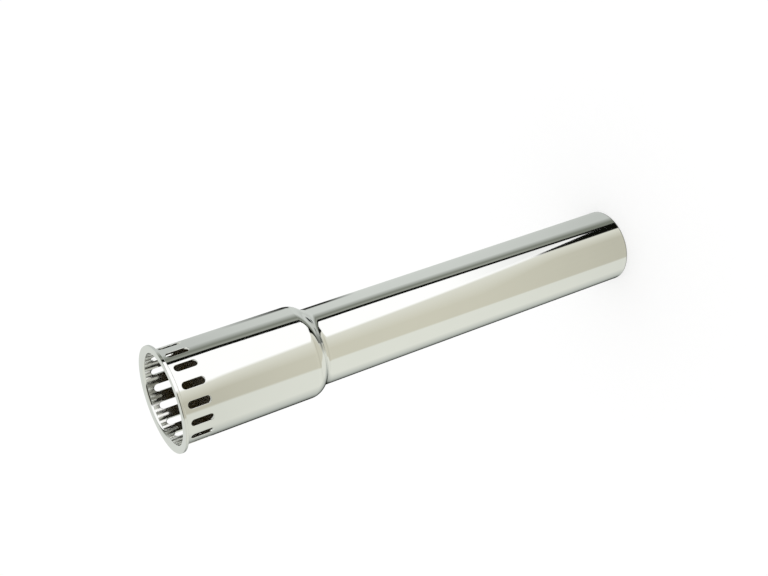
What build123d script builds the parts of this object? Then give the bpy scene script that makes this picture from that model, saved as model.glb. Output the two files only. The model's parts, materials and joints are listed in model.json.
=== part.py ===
"""Flush tube: one thin brass tube with a flanged, slotted inlet chamber and a narrower plain outlet.

The blank is flared and upset at the inlet, punched with a ring of air slots and drawn down at a shoulder. It stands
as it is fitted, with the flange at the top. Millimetres, +Z up, with the origin at the middle of the plain end.
"""

import os
from math import acos, degrees, radians, sin

from build123d import *

# Tube sizes, with both lengths measured down the axis from the flange's face
wall = 0.9
overall_length = 218.4
chamber_diameter = 38.1
chamber_length = 57.4
outlet_diameter = 31.75

# Flange, flared outwards from the chamber's wall and thicker than it, with its rim rounded to the face
flange_overhang = 2.4
flange_thickness = 1.5
flange_round = 0.5
mouth_radius = 1.3
neck_radius = 0.5

# Shoulder between the chamber and the outlet, as two outside radii that meet tangent
shoulder_radius = 7.5
throat_radius = 1.5

# Air slots below the flange
slot_count = 16
slot_length = 9.2
slot_width = 2.9
slot_setback = 3.7

# Chamfer on the rim's back edge and on both edges of the plain end
edge_break = 0.25

chamber_radius = chamber_diameter / 2
outlet_radius = outlet_diameter / 2
flange_radius = chamber_radius + flange_overhang
drawn_depth = chamber_radius - outlet_radius
shoulder_slope = degrees(acos(1 - drawn_depth / (shoulder_radius + throat_radius)))
shoulder_height = overall_length - chamber_length
throat_height = shoulder_height - (shoulder_radius + throat_radius) * sin(radians(shoulder_slope))


def skin_line(depth, bend_radius, flange_height):
    """Draws the wall's line at a depth under its outside, from the plain end up, and returns its two ends."""
    outlet = Line((outlet_radius - depth, 0), (outlet_radius - depth, throat_height))
    throat = JernArc(outlet @ 1, outlet % 1, throat_radius + depth, -shoulder_slope)
    shoulder = JernArc(throat @ 1, throat % 1, shoulder_radius - depth, shoulder_slope)
    chamber = Line(shoulder @ 1, (chamber_radius - depth, flange_height - bend_radius))
    bend = JernArc(chamber @ 1, chamber % 1, bend_radius, -90)
    flange = Line(bend @ 1, (flange_radius, flange_height))
    return outlet @ 0, flange @ 1


# Cutter for one slot, towards X
with BuildPart() as slot_cutter:
    with BuildSketch(Plane.YZ):
        with Locations((0, overall_length - slot_setback - slot_length / 2)):
            SlotOverall(slot_length, slot_width, rotation=90)
    extrude(amount=flange_radius)

# Tube turned from its wall section, with the slots cut round the chamber
with BuildPart() as flush_tube:
    with BuildSketch(Plane.XZ) as wall_section:
        with BuildLine():
            outer_end, outer_rim = skin_line(0, neck_radius, overall_length - flange_thickness)
            inner_end, inner_rim = skin_line(wall, mouth_radius, overall_length)
            Line(outer_end, inner_end)
            Line(outer_rim, inner_rim)
        make_face()
        fillet(wall_section.vertices().group_by(Axis.X)[-1].sort_by(Axis.Y)[-1], radius=flange_round)
        chamfer(wall_section.vertices().group_by(Axis.X)[-1].sort_by(Axis.Y)[0], length=edge_break)
        chamfer(wall_section.vertices().group_by(Axis.Y)[0], length=edge_break)
    revolve(axis=Axis.Z)
    with PolarLocations(0, slot_count):
        add(slot_cutter.part, mode=Mode.SUBTRACT)

flush_tube.part.label = "flush_tube"

os.makedirs("parts", exist_ok=True)
export_step(flush_tube.part, "parts/flush_tube.step")
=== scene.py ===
"""Looks of the flush tube: a finely turned chrome tube that stands on a pale studio floor.

Metres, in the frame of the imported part: +Z up along the tube's axis, with the plain end on the floor.
"""

import json
from math import asin, atan, cos, degrees, pi, radians, sin, sqrt

import bpy
from mathutils import Color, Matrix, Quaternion, Vector


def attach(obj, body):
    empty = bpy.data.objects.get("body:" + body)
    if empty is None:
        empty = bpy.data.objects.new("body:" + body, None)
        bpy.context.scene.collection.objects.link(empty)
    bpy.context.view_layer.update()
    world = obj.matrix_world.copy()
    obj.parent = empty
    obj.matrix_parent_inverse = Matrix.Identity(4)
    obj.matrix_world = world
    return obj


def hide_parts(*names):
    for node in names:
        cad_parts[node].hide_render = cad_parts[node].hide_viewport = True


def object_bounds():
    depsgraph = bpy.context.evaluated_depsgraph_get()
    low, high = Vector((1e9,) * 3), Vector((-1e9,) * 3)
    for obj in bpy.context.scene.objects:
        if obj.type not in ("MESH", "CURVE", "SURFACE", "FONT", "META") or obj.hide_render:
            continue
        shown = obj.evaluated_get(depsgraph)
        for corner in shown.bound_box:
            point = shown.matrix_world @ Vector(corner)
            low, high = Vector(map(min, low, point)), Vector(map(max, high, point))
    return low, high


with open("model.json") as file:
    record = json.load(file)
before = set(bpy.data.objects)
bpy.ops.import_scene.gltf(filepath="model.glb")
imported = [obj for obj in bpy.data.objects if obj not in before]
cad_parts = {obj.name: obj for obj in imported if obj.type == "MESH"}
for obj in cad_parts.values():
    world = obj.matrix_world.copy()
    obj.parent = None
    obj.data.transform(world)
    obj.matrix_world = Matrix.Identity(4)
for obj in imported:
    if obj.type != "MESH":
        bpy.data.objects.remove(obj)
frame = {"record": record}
cad_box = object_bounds()

# The part's mounts by name
mounts = {mount["name"]: mount for mount in frame["record"]["mounts"]}

# Units of the mounts' sizes and of screen colours, and the share of light that the chrome mirrors
mm_per_metre = 1000
top_level = 255
mirror_share = 0.9


def mount_radius(name):
    """Radius of a round mount."""
    return mounts[name]["dims"]["r_mm"] / mm_per_metre


def mount_half(name):
    """Half the length of a round mount."""
    return mounts[name]["dims"]["length_mm"] / mm_per_metre / 2


def mount_top(name):
    """Height of a round mount's upper end."""
    return mounts[name]["pos_m"][2] + mount_half(name)


def mount_foot(name):
    """Height of a round mount's lower end."""
    return mounts[name]["pos_m"][2] - mount_half(name)


def tone(*levels):
    """Light that the chrome mirrors as this screen colour, whose levels go from 0 to 255."""
    screen = Color([level / top_level for level in levels])
    return Vector(screen.from_srgb_to_scene_linear()) / mirror_share


# Tube sizes from the frame
tube_length = cad_box[1].z
flange_radius = cad_box[1].x
chamber_radius = mount_radius("chamber_outside")
outlet_radius = mount_radius("outlet_outside")
wall = chamber_radius - mount_radius("chamber_bore")
neck_height = mount_top("chamber_outside")
mouth_height = mount_top("chamber_bore")
shoulder_height = mount_foot("chamber_outside")
throat_height = mount_top("outlet_outside")
edge_round = mount_foot("outlet_outside")

# Flange, with the bends below it and in its mouth
flange_foot = mounts["flange_back"]["pos_m"][2]
neck_radius = flange_foot - neck_height
mouth_radius = tube_length - mouth_height
flange_round = 0.0005

# Lean of the inside's mirror at the mouth, and the depth at which it ends
mouth_lean = radians(5)
lean_depth = 0.0105

# Shoulder, as two tangent arcs that share one slope
shoulder_rise = shoulder_height - throat_height
shoulder_slope = 2 * atan((chamber_radius - outlet_radius) / shoulder_rise)
throat_radius = 0.0015
shoulder_radius = shoulder_rise / sin(shoulder_slope) - throat_radius

# Outside of the throat, where the outlet flares out gently into a close crease under the shoulder
flare_radius = 0.007
flare_turn = radians(20)
flare_rise = flare_radius * (1 - cos(flare_turn))
crease_rise = chamber_radius - outlet_radius - shoulder_radius * (1 - cos(shoulder_slope)) - flare_rise
crease_radius = crease_rise / (cos(flare_turn) - cos(shoulder_slope))
crease_top = shoulder_height - shoulder_radius * sin(shoulder_slope)
crease_foot = crease_top - crease_radius * (sin(shoulder_slope) - sin(flare_turn))
flare_foot = crease_foot - flare_radius * sin(flare_turn)

# Air slots below the flange, with a fine rounding on their edges
slot_count = 16
slot_length = 0.0092
slot_width = 0.0029
slot_setback = 0.0037
slot_round = 0.00018
slot_middle = tube_length - slot_setback - slot_length / 2
slot_straight = (slot_length - slot_width) / 2

# Band of the wall that holds the slots, with the same margin above and below them
band_top = neck_height
band_margin = band_top - slot_middle - slot_length / 2
band_foot = slot_middle - slot_length / 2 - band_margin

# Mesh divisions: an even number of columns for each slot, rows on straight walls and steps on bends
columns_per_slot = 16
column_count = slot_count * columns_per_slot
side_rows = 8
outlet_rows = 16
chamber_rows = 6
round_steps = 4
bend_steps = 10

# Loops round a slot: shares of the way from its edge to its cell's border, then degrees over its rounding
skin_shares = (0.64, 0.34, 0.12)
round_turns = (0, 30, 60, 90)

# Chrome plate in two close colours. A grain is a noise's features per metre along X, Y and Z.
plate_dim = (0.865, 0.872, 0.868)
plate_bright = (0.895, 0.898, 0.892)
cloud_grain = (90, 90, 90)
polish_grain = (60, 60, 2600)
polish_roughness = (0.028, 0.062)
polish_depth = 2e-7
noise_span = (0.3, 0.7)

# Rough edge left by cutting the plain end, darkened there as painted shade, with the heights over which it
# fades and the roughness it adds
end_shade_colour = (0.34, 0.34, 0.33)
end_shade_fade = (0.0003, 0.0006)
end_roughness = 0.2

# Plate inside the tube, from bright to dull and dark over some depths from its openings, with a mottled edge
# between. The darkening is partly the brass under thinner plate and partly painted shade deep in the bore
bright_colour = (0.84, 0.835, 0.815)
dull_shaded_colour = (0.24, 0.19, 0.1)
bore_roughness = (0.06, 0.62)
dull_shade_depths = (0.016, 0.026)
mottle_grain = (140, 140, 70)
mottle_reach = (-0.004, 0.004)
drawn_grain = (900, 900, 40)
drawn_roughness = (-0.02, 0.06)
drawn_depth = 4e-6

# Camera at the photograph's viewing angle, rolled in degrees so that the flange is at the lower left
camera_place = Vector((-0.04938, -0.44026, 0.33993))
camera_aim = Vector((0.00648, -0.04955, 0.13871))
camera_roll = -108.52

# Lens and sensor width in millimetres, and the nearest distance that the camera sees
camera_lens = 56.04
camera_sensor = 36
camera_near = 0.01

# Floor: half its side, the grey of its paint, and the light that brings it to white for the camera
floor_half = 12
floor_paint_level = 0.5
floor_glow_level = 0.52

# Light tent round the tube. Bearings are in degrees, clockwise from the camera's side as seen from above.
camera_bearing = -96.4
back_bearing = 180
tent_radius = 0.9
tent_top = 1.2
tent_foot = -3.2
tent_columns_per_stop = 4

# Heights between rows of the tent, close together where the tube's straight walls mirror it
tent_row_height = 0.05
close_row_height = 0.01
close_top = 0
close_foot = -0.8

# Heights that the straight walls mirror, and the deep part below them. A span goes from start to end.
sight_span = (-0.1, -0.68)
deep_span = (-0.74, -2.3)

# Spans in which the backdrop's tone turns to that of its low part, of the ground and of the roof
low_span = (-0.9, -1.5)
ground_span = (-2.4, tent_foot)
ground_share = 0.5
roof_span = (0, 0.2)

# Falloff of the walls' light above and below one height, and its even strength in the deep part
falloff_middle = -0.32
falloff_loss = 0.16
falloff_above = 0.24
falloff_below = 0.36
deep_strength = 0.97
deep_strength_span = (-0.69, -0.76)

# Backdrop's dark edge at the back of the tent
near_edge_end = -146
near_edge_rise = (-0.115, -0.2)
near_edge_fall = (-0.3, -0.26)

# Two dark bars low on the backdrop, which the shoulder mirrors, as (height, half width)
bars = ((-1.16, 0.13), (-2.4, 0.3))
bar_blur = 0.12
bar_start = -138
bar_end = -122
bar_fade = 10

# Backdrop's trough and glow, as bearings back from the middle of the black strip
trough_start = 31
trough_reach = 13
glow_reach = 6
glow_span = (-0.52, -0.66)

# Black strip, which leans and tapers downwards, has a kink, and drifts aside and fades in the deep part
strip_bearing = -77.8
strip_lean = 19.4
strip_half = 3.7
strip_taper = 0.8
strip_taper_span = (-0.36, -0.6)
strip_kink = 2.6
kink_rise = (-0.36, -0.24)
kink_fall = (-0.205, -0.225)
strip_drift = 27
strip_fade_span = (-1.9, -2.9)
strip_blur = 0.5

# White panel beside the strip, whose far edge leans and curls to the strip and flares at the top
panel_end = -11.6
panel_lean = 26
panel_curl = 24
panel_flare = 3.5
panel_flare_span = (-0.095, -0.075)

# Widths from which the panel starts to show and shows fully, and its dimming downwards, less at its rim
panel_least_width = 0.6
panel_full_width = 2
panel_dim = 0.16
panel_dim_span = (-0.42, -0.54)
rim_dim = 0.06
rim_width = 6

# Black wedge below the panel's far edge, the widths over which it shows, and the blur of its end
wedge_end = -39.8
wedge_drift = 30
wedge_least_width = 0.2
wedge_widths = (1.5, 3.5)
wedge_blur = 2.5

# Halo beside the panel or the wedge, and the warm wall after it, which comes nearer lower down
halo_blur = 6
halo_width = 30
halo_low_share = 0.6
warm_bearing = 20
warm_shift = 30
warm_shift_span = (-0.46, -0.58)

# Room above floor level, which the mouth's inside mirrors: hazy low down, then dark up to the roof
room_rise = (-0.03, 0.04)
room_dusk = (0.31, 0.36)
room_fall = (1.2, 1.1)
haze_share = 0.35

# Table, from an edge that leans and returns in the deep part, with its share of the light's falloff
table_bearing = 51.5
table_lean = 12
table_return = 11
table_return_span = (-0.7, -0.9)
table_blur = 2.5
table_falloff = 0.5
table_end = 106

# Shade behind the table, light and then deep, and the dark edge after it
shade_bearing = 133
deep_shade_bearing = 147
far_edge_start = 157
far_edge_rise = (-0.02, -0.05)
far_edge_fall = (-1, -0.8)

# Tones of the tent. Only the panel's, which is brighter than screen white, is written as plain light.
backdrop_tone = tone(203, 207, 202)
trough_tone = tone(118, 122, 112)
glow_tone = tone(148, 151, 142)
black_tone = tone(12, 13, 9)
panel_tone = Vector((1.14, 1.14, 1.125))
halo_tone = tone(218, 218, 206)
warm_tone = tone(203, 201, 184)
table_tone = tone(221, 223, 213)
shade_tone = tone(184, 188, 181)
deep_shade_tone = tone(146, 150, 144)
edge_tone = tone(40, 42, 38)
bar_tone = tone(50, 53, 54)
low_tone = tone(190, 193, 187)
ground_tone = tone(112, 114, 110)
roof_tone = tone(208, 211, 205)
haze_tone = tone(124, 125, 116)
room_tone = tone(52, 52, 48)


def arc(middle, radius, start, end, steps, side):
    """Stations on an arc of the wall's section: (radius, height, normal). Angles are in degrees.

    The normals point away from the arc's middle where the side is 1, and to it where the side is -1.
    """
    stations = []
    for step in range(steps + 1):
        turn = radians(start + (end - start) * step / steps)
        out = (cos(turn), sin(turn))
        place = (middle[0] + radius * out[0], middle[1] + radius * out[1])
        stations.append((*place, (side * out[0], side * out[1])))
    return stations


def run(radius, start, end, steps, side):
    """Stations between the two ends of a straight wall, whose side is 1 outside the tube and -1 inside it."""
    return [(radius, start + (end - start) * step / steps, (side, 0)) for step in range(1, steps)]


def outer_section():
    """Stations up the outside as far as the slots, and from the slots over the rim."""
    slope = degrees(shoulder_slope)
    flare = degrees(flare_turn)
    end_middle = (outlet_radius - edge_round, edge_round)
    flare_middle = (outlet_radius + flare_radius, flare_foot)
    crease_middle = (outlet_radius + flare_rise + crease_radius * cos(flare_turn),
                     crease_foot - crease_radius * sin(flare_turn))
    shoulder_middle = (chamber_radius - shoulder_radius, shoulder_height)
    neck_middle = (chamber_radius + neck_radius, neck_height)
    rim_foot = (flange_radius - edge_round, flange_foot + edge_round)
    rim_top = (flange_radius - flange_round, tube_length - flange_round)
    below = arc(end_middle, edge_round, -90, 0, round_steps, 1)
    below += run(outlet_radius, edge_round, flare_foot, outlet_rows, 1)
    below += arc(flare_middle, flare_radius, 180, 180 - flare, bend_steps, -1)
    below += arc(crease_middle, crease_radius, 180 - flare, 180 - slope, bend_steps, -1)[1:]
    below += arc(shoulder_middle, shoulder_radius, -slope, 0, bend_steps * 2, 1)[1:]
    below += run(chamber_radius, shoulder_height, band_foot, chamber_rows, 1)
    below.append((chamber_radius, band_foot, (1, 0)))
    above = arc(neck_middle, neck_radius, 180, 90, bend_steps, -1)
    above += arc(rim_foot, edge_round, -90, 0, round_steps, 1)
    above += arc(rim_top, flange_round, 0, 90, bend_steps, 1)
    return below, above


def inner_section():
    """Stations from the rim down the inside to the slots, and from the slots to the plain end."""
    slope = degrees(shoulder_slope)
    bore_radius = chamber_radius - wall
    mouth_middle = (bore_radius + mouth_radius, mouth_height)
    shoulder_middle = (chamber_radius - shoulder_radius, shoulder_height)
    throat_middle = (outlet_radius + throat_radius, throat_height)
    end_middle = (outlet_radius - wall + edge_round, edge_round)
    above = arc(mouth_middle, mouth_radius, 90, 180, bend_steps, 1)
    above.append((bore_radius, band_top, (-1, 0)))
    below = [(bore_radius, band_foot, (-1, 0))]
    below += run(bore_radius, band_foot, shoulder_height, chamber_rows, -1)
    below += arc(shoulder_middle, shoulder_radius - wall, 0, -slope, bend_steps * 2, -1)
    below += arc(throat_middle, throat_radius + wall, 180 - slope, 180, bend_steps, 1)[1:]
    below += run(outlet_radius - wall, throat_height, edge_round, outlet_rows, -1)
    below += arc(end_middle, edge_round, 180, 270, round_steps, 1)
    return above, below


class TubeMesh:
    """Collects the tube's points with their normals, and its faces with a mark on those of the bore."""

    def __init__(self):
        self.points = []
        self.normals = []
        self.faces = []
        self.inside = []

    def add_point(self, point, normal):
        """Adds a point and returns its number."""
        self.points.append(point)
        self.normals.append(Vector(normal).normalized())
        return len(self.points) - 1

    def add_ring(self, station):
        """Adds a ring of points at one station, one for each column."""
        radius, height, normal = station
        ring = []
        for column in range(column_count):
            turn = 2 * pi * column / column_count
            point = (radius * cos(turn), radius * sin(turn), height)
            ring.append(self.add_point(point, (normal[0] * cos(turn), normal[0] * sin(turn), normal[1])))
        return ring

    def add_rings(self, stations):
        """Adds a ring at each station."""
        return [self.add_ring(station) for station in stations]

    def join(self, first, second, inside):
        """Fills the band between two closed loops with quads."""
        for index in range(len(first)):
            after = (index + 1) % len(first)
            self.faces.append((first[index], first[after], second[after], second[index]))
            self.inside.append(inside)

    def join_all(self, loops, inside):
        """Fills the bands between loops that follow each other."""
        for first, second in zip(loops, loops[1:]):
            self.join(first, second, inside)


def slot_outline(offset):
    """Points round a slot at an offset from its edge: (across, along, outward direction)."""
    half = slot_width / 2 + offset
    outline = []
    for row in range(side_rows):
        outline.append((half, slot_straight * (2 * row / side_rows - 1), (1, 0)))
    for step in range(columns_per_slot):
        turn = pi * step / columns_per_slot
        outline.append((half * cos(turn), slot_straight + half * sin(turn), (cos(turn), sin(turn))))
    return outline + [(-across, -along, (-out[0], -out[1])) for across, along, out in outline]


def cell_border(lower, upper, sides, slot):
    """Loop of points round one slot's cell, in the order of the slot's outline."""
    half = columns_per_slot // 2
    middle = slot * columns_per_slot
    right = [lower[(middle + half) % column_count]] + sides[slot]
    top = [upper[(middle + half - step) % column_count] for step in range(columns_per_slot)]
    left_side = sides[(slot - 1) % slot_count]
    left = [upper[(middle - half) % column_count]] + left_side[::-1]
    foot = [lower[(middle - half + step) % column_count] for step in range(columns_per_slot)]
    return right + top + left + foot


def add_cell_sides(mesh, radius, side):
    """Adds a column of points between each two slots, from the band's foot to its top."""
    sides = []
    for slot in range(slot_count):
        turn = 2 * pi * (slot + 0.5) / slot_count
        out = (cos(turn), sin(turn), 0)
        column = []
        for row in range(1, side_rows):
            height = band_foot + (band_top - band_foot) * row / side_rows
            normal = [side * part for part in out]
            column.append(mesh.add_point((radius * out[0], radius * out[1], height), normal))
        sides.append(column)
    return sides


def add_skin_loop(mesh, bearing, radius, border, share, side):
    """Adds a loop on the skin, part of the way from a slot's edge to its cell's border."""
    loop = []
    for (across, along, _), corner in zip(slot_outline(slot_round), border):
        point = mesh.points[corner]
        spun = Quaternion((0, 0, 1), -bearing) @ Vector(point)
        border_turn = asin(max(-1, min(1, spun.y / radius)))
        turn = asin(across / radius) * (1 - share) + border_turn * share + bearing
        height = (slot_middle + along) * (1 - share) + point[2] * share
        out = (side * cos(turn), side * sin(turn), 0)
        loop.append(mesh.add_point((radius * cos(turn), radius * sin(turn), height), out))
    return loop


def add_edge_loop(mesh, bearing, radius, turn, side):
    """Adds one loop of a slot's rounded edge. The turn grows from 0 at the skin to 90 degrees in the slot."""
    loop = []
    level = radius - side * slot_round * (1 - cos(turn))
    spin = Quaternion((0, 0, 1), bearing)
    for across, along, out in slot_outline(slot_round * (1 - sin(turn))):
        reach = sqrt(level ** 2 - across ** 2)
        skin = Vector((reach, across, 0)) / level * side
        normal = skin * cos(turn) - Vector((0, out[0], out[1])) * sin(turn)
        point = spin @ Vector((reach, across, slot_middle + along))
        loop.append(mesh.add_point(tuple(point), spin @ normal))
    return loop


def add_slot_band(mesh, lower, upper, radius, side):
    """Fills one skin between two rings with slotted cells, and returns each slot's innermost loop."""
    sides = add_cell_sides(mesh, radius, side)
    edges = []
    for slot in range(slot_count):
        bearing = 2 * pi * slot / slot_count
        border = cell_border(lower, upper, sides, slot)
        loops = [border]
        for share in skin_shares:
            loops.append(add_skin_loop(mesh, bearing, radius, border, share, side))
        for turn in round_turns:
            loops.append(add_edge_loop(mesh, bearing, radius, radians(turn), side))
        mesh.join_all(loops if side > 0 else loops[::-1], side < 0)
        edges.append(loops[-1])
    return edges


def lean_mouth(mesh):
    """Leans the inside's normals up towards the mouth, as on a wall that opens very gently there."""
    for index, (point, normal) in enumerate(zip(mesh.points, mesh.normals)):
        share = 1 - (tube_length - point[2]) / lean_depth
        inward = -(normal.x * point[0] + normal.y * point[1]) / sqrt(point[0] ** 2 + point[1] ** 2)
        if share > 0 and inward > 0:
            lift = Vector((0, 0, mouth_lean * share * inward))
            mesh.normals[index] = (normal + lift).normalized()


def add_object(name, data):
    """A new object in the scene."""
    item = bpy.data.objects.new(name, data)
    bpy.context.scene.collection.objects.link(item)
    return item


def build_tube():
    """The whole tube as one closed mesh, with its own normals so that the chrome mirrors cleanly."""
    mesh = TubeMesh()
    outer_below, outer_above = [mesh.add_rings(part) for part in outer_section()]
    inner_above, inner_below = [mesh.add_rings(part) for part in inner_section()]
    mesh.join_all(outer_below, False)
    mesh.join_all(outer_above + inner_above, False)
    mesh.join_all(inner_below + outer_below[:1], True)
    outer_edges = add_slot_band(mesh, outer_below[-1], outer_above[0], chamber_radius, 1)
    inner_edges = add_slot_band(mesh, inner_below[0], inner_above[-1], chamber_radius - wall, -1)
    for outer_loop, inner_loop in zip(outer_edges, inner_edges):
        mesh.join(outer_loop, inner_loop, False)
    lean_mouth(mesh)
    data = bpy.data.meshes.new("chrome_tube")
    data.from_pydata(mesh.points, [], mesh.faces)
    data.polygons.foreach_set("use_smooth", [True] * len(data.polygons))
    data.polygons.foreach_set("material_index", [int(inside) for inside in mesh.inside])
    data.normals_split_custom_set_from_vertices(mesh.normals)
    data.validate()
    return add_object("chrome_tube", data)


def new_material(name):
    """An empty node material, with its node tree and output."""
    material = bpy.data.materials.new(name)
    material.use_nodes = True
    tree = material.node_tree
    tree.nodes.clear()
    return material, tree, tree.nodes.new("ShaderNodeOutputMaterial")


def add_noise(tree, grain, detail):
    """A noise node on the object's own coordinates."""
    place = tree.nodes.new("ShaderNodeTexCoord")
    scaled = tree.nodes.new("ShaderNodeMapping")
    scaled.inputs["Scale"].default_value = grain
    noise = tree.nodes.new("ShaderNodeTexNoise")
    noise.inputs["Scale"].default_value = 1
    noise.inputs["Detail"].default_value = detail
    tree.links.new(place.outputs["Object"], scaled.inputs["Vector"])
    tree.links.new(scaled.outputs["Vector"], noise.inputs["Vector"])
    return noise.outputs["Fac"]


def add_height(tree):
    """Height above the plain end."""
    place = tree.nodes.new("ShaderNodeTexCoord")
    axes = tree.nodes.new("ShaderNodeSeparateXYZ")
    tree.links.new(place.outputs["Object"], axes.inputs["Vector"])
    return axes.outputs["Z"]


def add_range(tree, value, old, new):
    """A node that turns an old range of a linked value into a new one."""
    spread = tree.nodes.new("ShaderNodeMapRange")
    for name, limit in zip(("From Min", "From Max", "To Min", "To Max"), (*old, *new)):
        spread.inputs[name].default_value = limit
    tree.links.new(value, spread.inputs["Value"])
    return spread.outputs["Result"]


def add_maths(tree, operation, first, second):
    """A maths node on two linked values."""
    node = tree.nodes.new("ShaderNodeMath")
    node.operation = operation
    tree.links.new(first, node.inputs[0])
    tree.links.new(second, node.inputs[1])
    return node.outputs["Value"]


def add_blend(tree, share, first, second):
    """A mix by a linked share of one colour that is linked or plain and one that is plain."""
    blend = tree.nodes.new("ShaderNodeMix")
    blend.data_type = "RGBA"
    blend.inputs["B"].default_value = (*second, 1)
    tree.links.new(share, blend.inputs["Factor"])
    if isinstance(first, tuple):
        blend.inputs["A"].default_value = (*first, 1)
    else:
        tree.links.new(first, blend.inputs["A"])
    return blend.outputs["Result"]


def add_metal(tree, output, colour, roughness, relief, depth):
    """A metal shader with linked colour and roughness, and a bump of a depth in metres."""
    shader = tree.nodes.new("ShaderNodeBsdfPrincipled")
    shader.inputs["Metallic"].default_value = 1
    bump = tree.nodes.new("ShaderNodeBump")
    bump.inputs["Distance"].default_value = depth
    tree.links.new(relief, bump.inputs["Height"])
    tree.links.new(bump.outputs["Normal"], shader.inputs["Normal"])
    tree.links.new(colour, shader.inputs["Base Color"])
    tree.links.new(roughness, shader.inputs["Roughness"])
    tree.links.new(shader.outputs["BSDF"], output.inputs["Surface"])


def chrome_plate():
    """Bright chrome plate with faint polishing lines and clouds, and a rough edge left by cutting the plain
    end, darkened as painted shade.
    """
    material, tree, output = new_material("chrome_plate")
    lines = add_noise(tree, polish_grain, detail=3)
    clouds = add_noise(tree, cloud_grain, detail=2)
    # Band at the plain end: its colour is painted shade, and it is also rougher
    end_shade_and_dullness = add_range(tree, add_height(tree), end_shade_fade, (1, 0))
    plate = add_blend(tree, clouds, plate_dim, plate_bright)
    colour = add_blend(tree, end_shade_and_dullness, plate, end_shade_colour)
    polish = add_range(tree, lines, noise_span, polish_roughness)
    roughness = add_maths(tree, "ADD", polish, add_range(tree, end_shade_and_dullness, (0, 1), (0, end_roughness)))
    add_metal(tree, output, colour, roughness, lines, polish_depth)
    return material


def bore_plate():
    """Plate inside the tube: bright by its openings, then thin, dull and brown with the brass below it, and
    darkened deep in the bore as painted shade.
    """
    material, tree, output = new_material("bore_plate")
    height = add_height(tree)
    from_mouth = add_range(tree, height, (0, tube_length), (tube_length, 0))
    inward = add_maths(tree, "MINIMUM", height, from_mouth)
    mottle = add_noise(tree, mottle_grain, detail=4)
    ragged = add_maths(tree, "ADD", inward, add_range(tree, mottle, (0, 1), mottle_reach))
    # Darkening with depth from the openings: partly thinner plate, partly painted shade deep in the bore
    dullness_and_shade = add_range(tree, ragged, dull_shade_depths, (0, 1))
    colour = add_blend(tree, dullness_and_shade, bright_colour, dull_shaded_colour)
    drawn_lines = add_noise(tree, drawn_grain, detail=3)
    streaks = add_range(tree, drawn_lines, noise_span, drawn_roughness)
    roughness = add_maths(tree, "ADD", add_range(tree, dullness_and_shade, (0, 1), bore_roughness), streaks)
    add_metal(tree, output, colour, roughness, drawn_lines, drawn_depth)
    return material


def add_camera():
    """The scene's camera."""
    lens = bpy.data.cameras.new("camera")
    lens.lens = camera_lens
    lens.sensor_width = camera_sensor
    lens.clip_start = camera_near
    camera = add_object("camera", lens)
    camera.location = camera_place
    camera.rotation_mode = "QUATERNION"
    aimed = (camera_aim - camera_place).to_track_quat("-Z", "Y")
    camera.rotation_quaternion = aimed @ Quaternion((0, 0, 1), radians(camera_roll))
    bpy.context.scene.camera = camera


def ramp(value, span):
    """Share of the way from a span's start to its end, held between 0 and 1."""
    start, end = span
    return min(1, max(0, (value - start) / (end - start)))


def light_falloff(height):
    """Strength of the walls' light at one height."""
    distance = falloff_above if height > falloff_middle else falloff_below
    falloff = 1 - falloff_loss * min(1, ((height - falloff_middle) / distance) ** 2)
    return falloff + (deep_strength - falloff) * ramp(height, deep_strength_span)


def bar_share(height):
    """Share of a dark bar in the backdrop at one height."""
    return max(ramp(half + bar_blur - abs(height - middle), (0, bar_blur)) for middle, half in bars)


def backdrop_tones(height):
    """The backdrop's tones at one height, without its dark bars and with them."""
    plain = (backdrop_tone * light_falloff(height)).lerp(low_tone, ramp(height, low_span))
    plain = plain.lerp(roof_tone, ramp(height, roof_span))
    plain = plain.lerp(ground_tone, ground_share * ramp(height, ground_span))
    return plain, plain.lerp(bar_tone, bar_share(height))


def strip_course(height):
    """Bearing of the black strip's middle at one height, and half its width there."""
    kink = ramp(height, kink_rise) ** 2 * ramp(height, kink_fall)
    lean = strip_lean * ramp(height, sight_span)
    drift = strip_drift * ramp(height, deep_span)
    half = strip_half - strip_taper * ramp(height, strip_taper_span)
    return strip_bearing + lean + strip_kink * kink + drift, half


def panel_course(height):
    """Bearing of the white panel's far edge at one height, which stays clear of the black strip."""
    strip, half = strip_course(height)
    reach = ramp(height, sight_span)
    edge = panel_end + panel_flare * ramp(height, panel_flare_span)
    return max(strip + half + panel_least_width, edge - panel_lean * reach - panel_curl * reach ** 4)


def wedge_course(height):
    """Bearing of the black wedge's end at one height, and how far the wedge shows there."""
    panel = panel_course(height)
    end = max(panel + wedge_least_width, wedge_end + wedge_drift * ramp(height, deep_span) ** 2)
    return end, ramp(end - panel, wedge_widths)


def backdrop_stops(height):
    """Bearings and tones at one height from the back of the tent to the black strip."""
    strip, half = strip_course(height)
    backdrop, barred = backdrop_tones(height)
    near_edge = barred.lerp(edge_tone, ramp(height, near_edge_rise) * ramp(height, near_edge_fall))
    glow = glow_tone.lerp(trough_tone, ramp(height, glow_span))
    return [
        (-back_bearing, near_edge),
        (near_edge_end, near_edge),
        (bar_start, barred),
        (bar_end, barred),
        (bar_end + bar_fade, backdrop),
        (strip - trough_start, backdrop),
        (strip - trough_reach, trough_tone),
        (strip - glow_reach, glow),
        (strip - half - strip_blur, glow),
    ]


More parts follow.
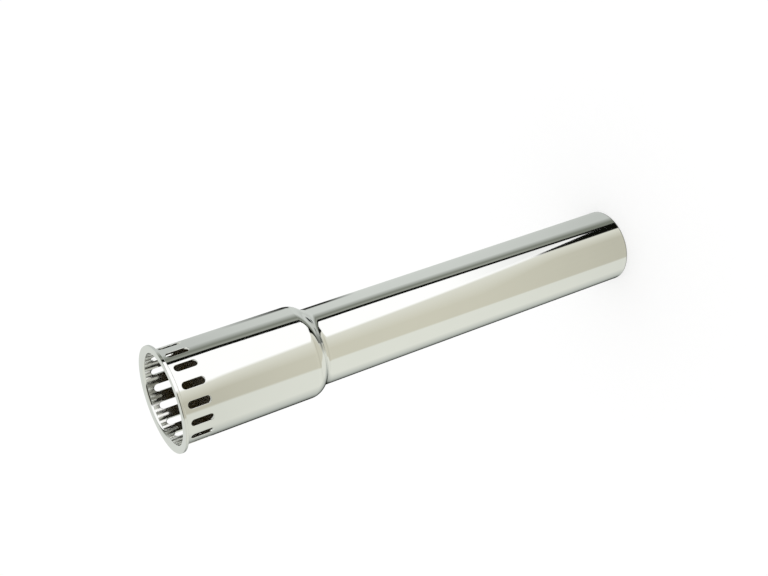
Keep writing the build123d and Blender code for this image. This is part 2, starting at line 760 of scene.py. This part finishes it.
def panel_stops(height):
    """Bearings and tones at one height of the black strip, the white panel and the black wedge."""
    strip, half = strip_course(height)
    strip_end = strip + half
    panel = panel_course(height)
    wedge, wedge_share = wedge_course(height)
    black = black_tone.lerp(ground_tone, ramp(height, strip_fade_span))
    dimming = ramp(height, panel_dim_span)
    panel_share = ramp(panel - strip_end, (panel_least_width, panel_full_width))
    light = black.lerp(panel_tone * (1 - panel_dim * dimming), panel_share)
    rim = black.lerp(panel_tone * (1 - rim_dim * dimming), panel_share)
    border = rim.lerp(black, wedge_share)
    rim_start = max(strip_end + (strip_blur + panel_least_width) / 2, panel - rim_width)
    return [
        (strip - half, black),
        (strip_end, black),
        (strip_end + strip_blur, light),
        (rim_start, light),
        (panel, rim),
        (panel + wedge_least_width, border),
        (wedge, border),
    ]


def room_stops(height):
    """Bearings and tones at one height from the halo round past the table to the back of the tent."""
    wedge, wedge_share = wedge_course(height)
    halo_start = wedge + halo_blur + (wedge_blur - halo_blur) * wedge_share
    warm_start = max(wedge + halo_width, warm_bearing - warm_shift * ramp(height, warm_shift_span))
    table = table_bearing + table_lean * ramp(height, sight_span)
    table -= table_return * ramp(height, table_return_span)
    rise = ramp(height, room_rise)
    dusk = ramp(height, room_dusk)
    room = rise * ramp(height, room_fall)
    room_light = haze_tone.lerp(room_tone, dusk)
    falloff = light_falloff(height)
    halo = halo_tone.lerp(low_tone, halo_low_share * ramp(height, low_span)).lerp(room_light, room)
    warm = (warm_tone * falloff).lerp(room_light, room)
    table_light = table_tone * (1 - table_falloff * (1 - falloff))
    table_light = table_light.lerp(haze_tone, haze_share * rise * (1 - dusk))
    roof = ramp(height, roof_span)
    barred = backdrop_tones(height)[1]
    far_edge = barred.lerp(edge_tone, ramp(height, far_edge_rise) * ramp(height, far_edge_fall))
    return [
        (halo_start, halo),
        (warm_start, warm),
        (table - table_blur, warm),
        (table + table_blur, table_light),
        (table_end, table_light),
        (shade_bearing, shade_tone.lerp(roof_tone, roof)),
        (deep_shade_bearing, deep_shade_tone.lerp(roof_tone, roof)),
        (far_edge_start, far_edge),
        (back_bearing, far_edge),
    ]


def tent_heights():
    """Heights of the tent's rows, from its foot up."""
    heights = [tent_top]
    spans = ((tent_foot, close_foot, tent_row_height), (close_foot, close_top, close_row_height),
             (close_top, tent_top, tent_row_height))
    for start, end, step in spans:
        steps = round((end - start) / step)
        heights += [start + (end - start) * row / steps for row in range(steps)]
    return sorted(heights)


def tent_mesh():
    """The tent's wall, roof and floor, with their tones on their points."""
    points = []
    tones = []
    heights = tent_heights()
    for height in heights:
        stops = backdrop_stops(height) + panel_stops(height) + room_stops(height)
        for (start, first), (end, last) in zip(stops, stops[1:]):
            for step in range(tent_columns_per_stop):
                share = step / tent_columns_per_stop
                turn = radians(camera_bearing - start - (end - start) * share)
                points.append((tent_radius * cos(turn), tent_radius * sin(turn), height))
                tones.append(first.lerp(last, share))
    width = len(points) // len(heights)
    top_row = len(points) - width
    foot_middle = len(points)
    top_middle = foot_middle + 1
    faces = []
    for column in range(width):
        after = (column + 1) % width
        for row in range(0, top_row, width):
            faces.append((row + column, row + after, row + width + after, row + width + column))
        faces.append((column, after, foot_middle))
        faces.append((top_row + column, top_row + after, top_middle))
    points += [(0, 0, tent_foot), (0, 0, tent_top)]
    tones += [ground_tone, roof_tone]
    data = bpy.data.meshes.new("light_tent")
    data.from_pydata(points, [], faces)
    layer = data.color_attributes.new("tone", "FLOAT_COLOR", "POINT")
    layer.data.foreach_set("color", [level for colour in tones for level in (*colour, 1)])
    return data


def tent_light():
    """Light in the tones that lie on the tent's points."""
    material, tree, output = new_material("tent_light")
    light = tree.nodes.new("ShaderNodeEmission")
    reader = tree.nodes.new("ShaderNodeAttribute")
    reader.attribute_name = "tone"
    tree.links.new(reader.outputs["Color"], light.inputs["Color"])
    tree.links.new(light.outputs["Emission"], output.inputs["Surface"])
    material.cycles.emission_sampling = "NONE"
    return material


def add_tent():
    """The light tent, seen only in reflections."""
    data = tent_mesh()
    data.materials.append(tent_light())
    tent = add_object("light_tent", data)
    tent.visible_camera = False
    tent.visible_diffuse = False
    tent.visible_shadow = False


def grey(level):
    """A neutral colour, solid."""
    return (level, level, level, 1)


def floor_paint():
    """Pale paint that keeps the tube's soft shadow. It is white to the camera where nothing shades it."""
    material, tree, output = new_material("floor_paint")
    paint = tree.nodes.new("ShaderNodeBsdfDiffuse")
    paint.inputs["Color"].default_value = grey(floor_paint_level)
    glow = tree.nodes.new("ShaderNodeEmission")
    glow.inputs["Color"].default_value = grey(floor_glow_level)
    path = tree.nodes.new("ShaderNodeLightPath")
    both = tree.nodes.new("ShaderNodeAddShader")
    tree.links.new(path.outputs["Is Camera Ray"], glow.inputs["Strength"])
    tree.links.new(paint.outputs["BSDF"], both.inputs[0])
    tree.links.new(glow.outputs["Emission"], both.inputs[1])
    tree.links.new(both.outputs["Shader"], output.inputs["Surface"])
    return material


def add_floor():
    """Floor under the tube, which the chrome does not mirror."""
    half = floor_half
    corners = [(-half, -half, 0), (half, -half, 0), (half, half, 0), (-half, half, 0)]
    data = bpy.data.meshes.new("floor")
    data.from_pydata(corners, [], [(0, 1, 2, 3)])
    data.materials.append(floor_paint())
    floor = add_object("floor", data)
    floor.visible_glossy = False


def add_light():
    """White world, which lights the floor softly from all round."""
    world = bpy.data.worlds.new("studio")
    world.use_nodes = True
    background = world.node_tree.nodes["Background"]
    background.inputs["Color"].default_value = grey(1)
    background.inputs["Strength"].default_value = 1
    bpy.context.scene.world = world


piece = build_tube()
piece.data.materials.append(chrome_plate())
piece.data.materials.append(bore_plate())
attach(piece, "root")
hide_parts("flush_tube")
add_camera()
add_tent()
add_floor()
add_light()

bpy.context.scene.view_settings.view_transform = "Standard"
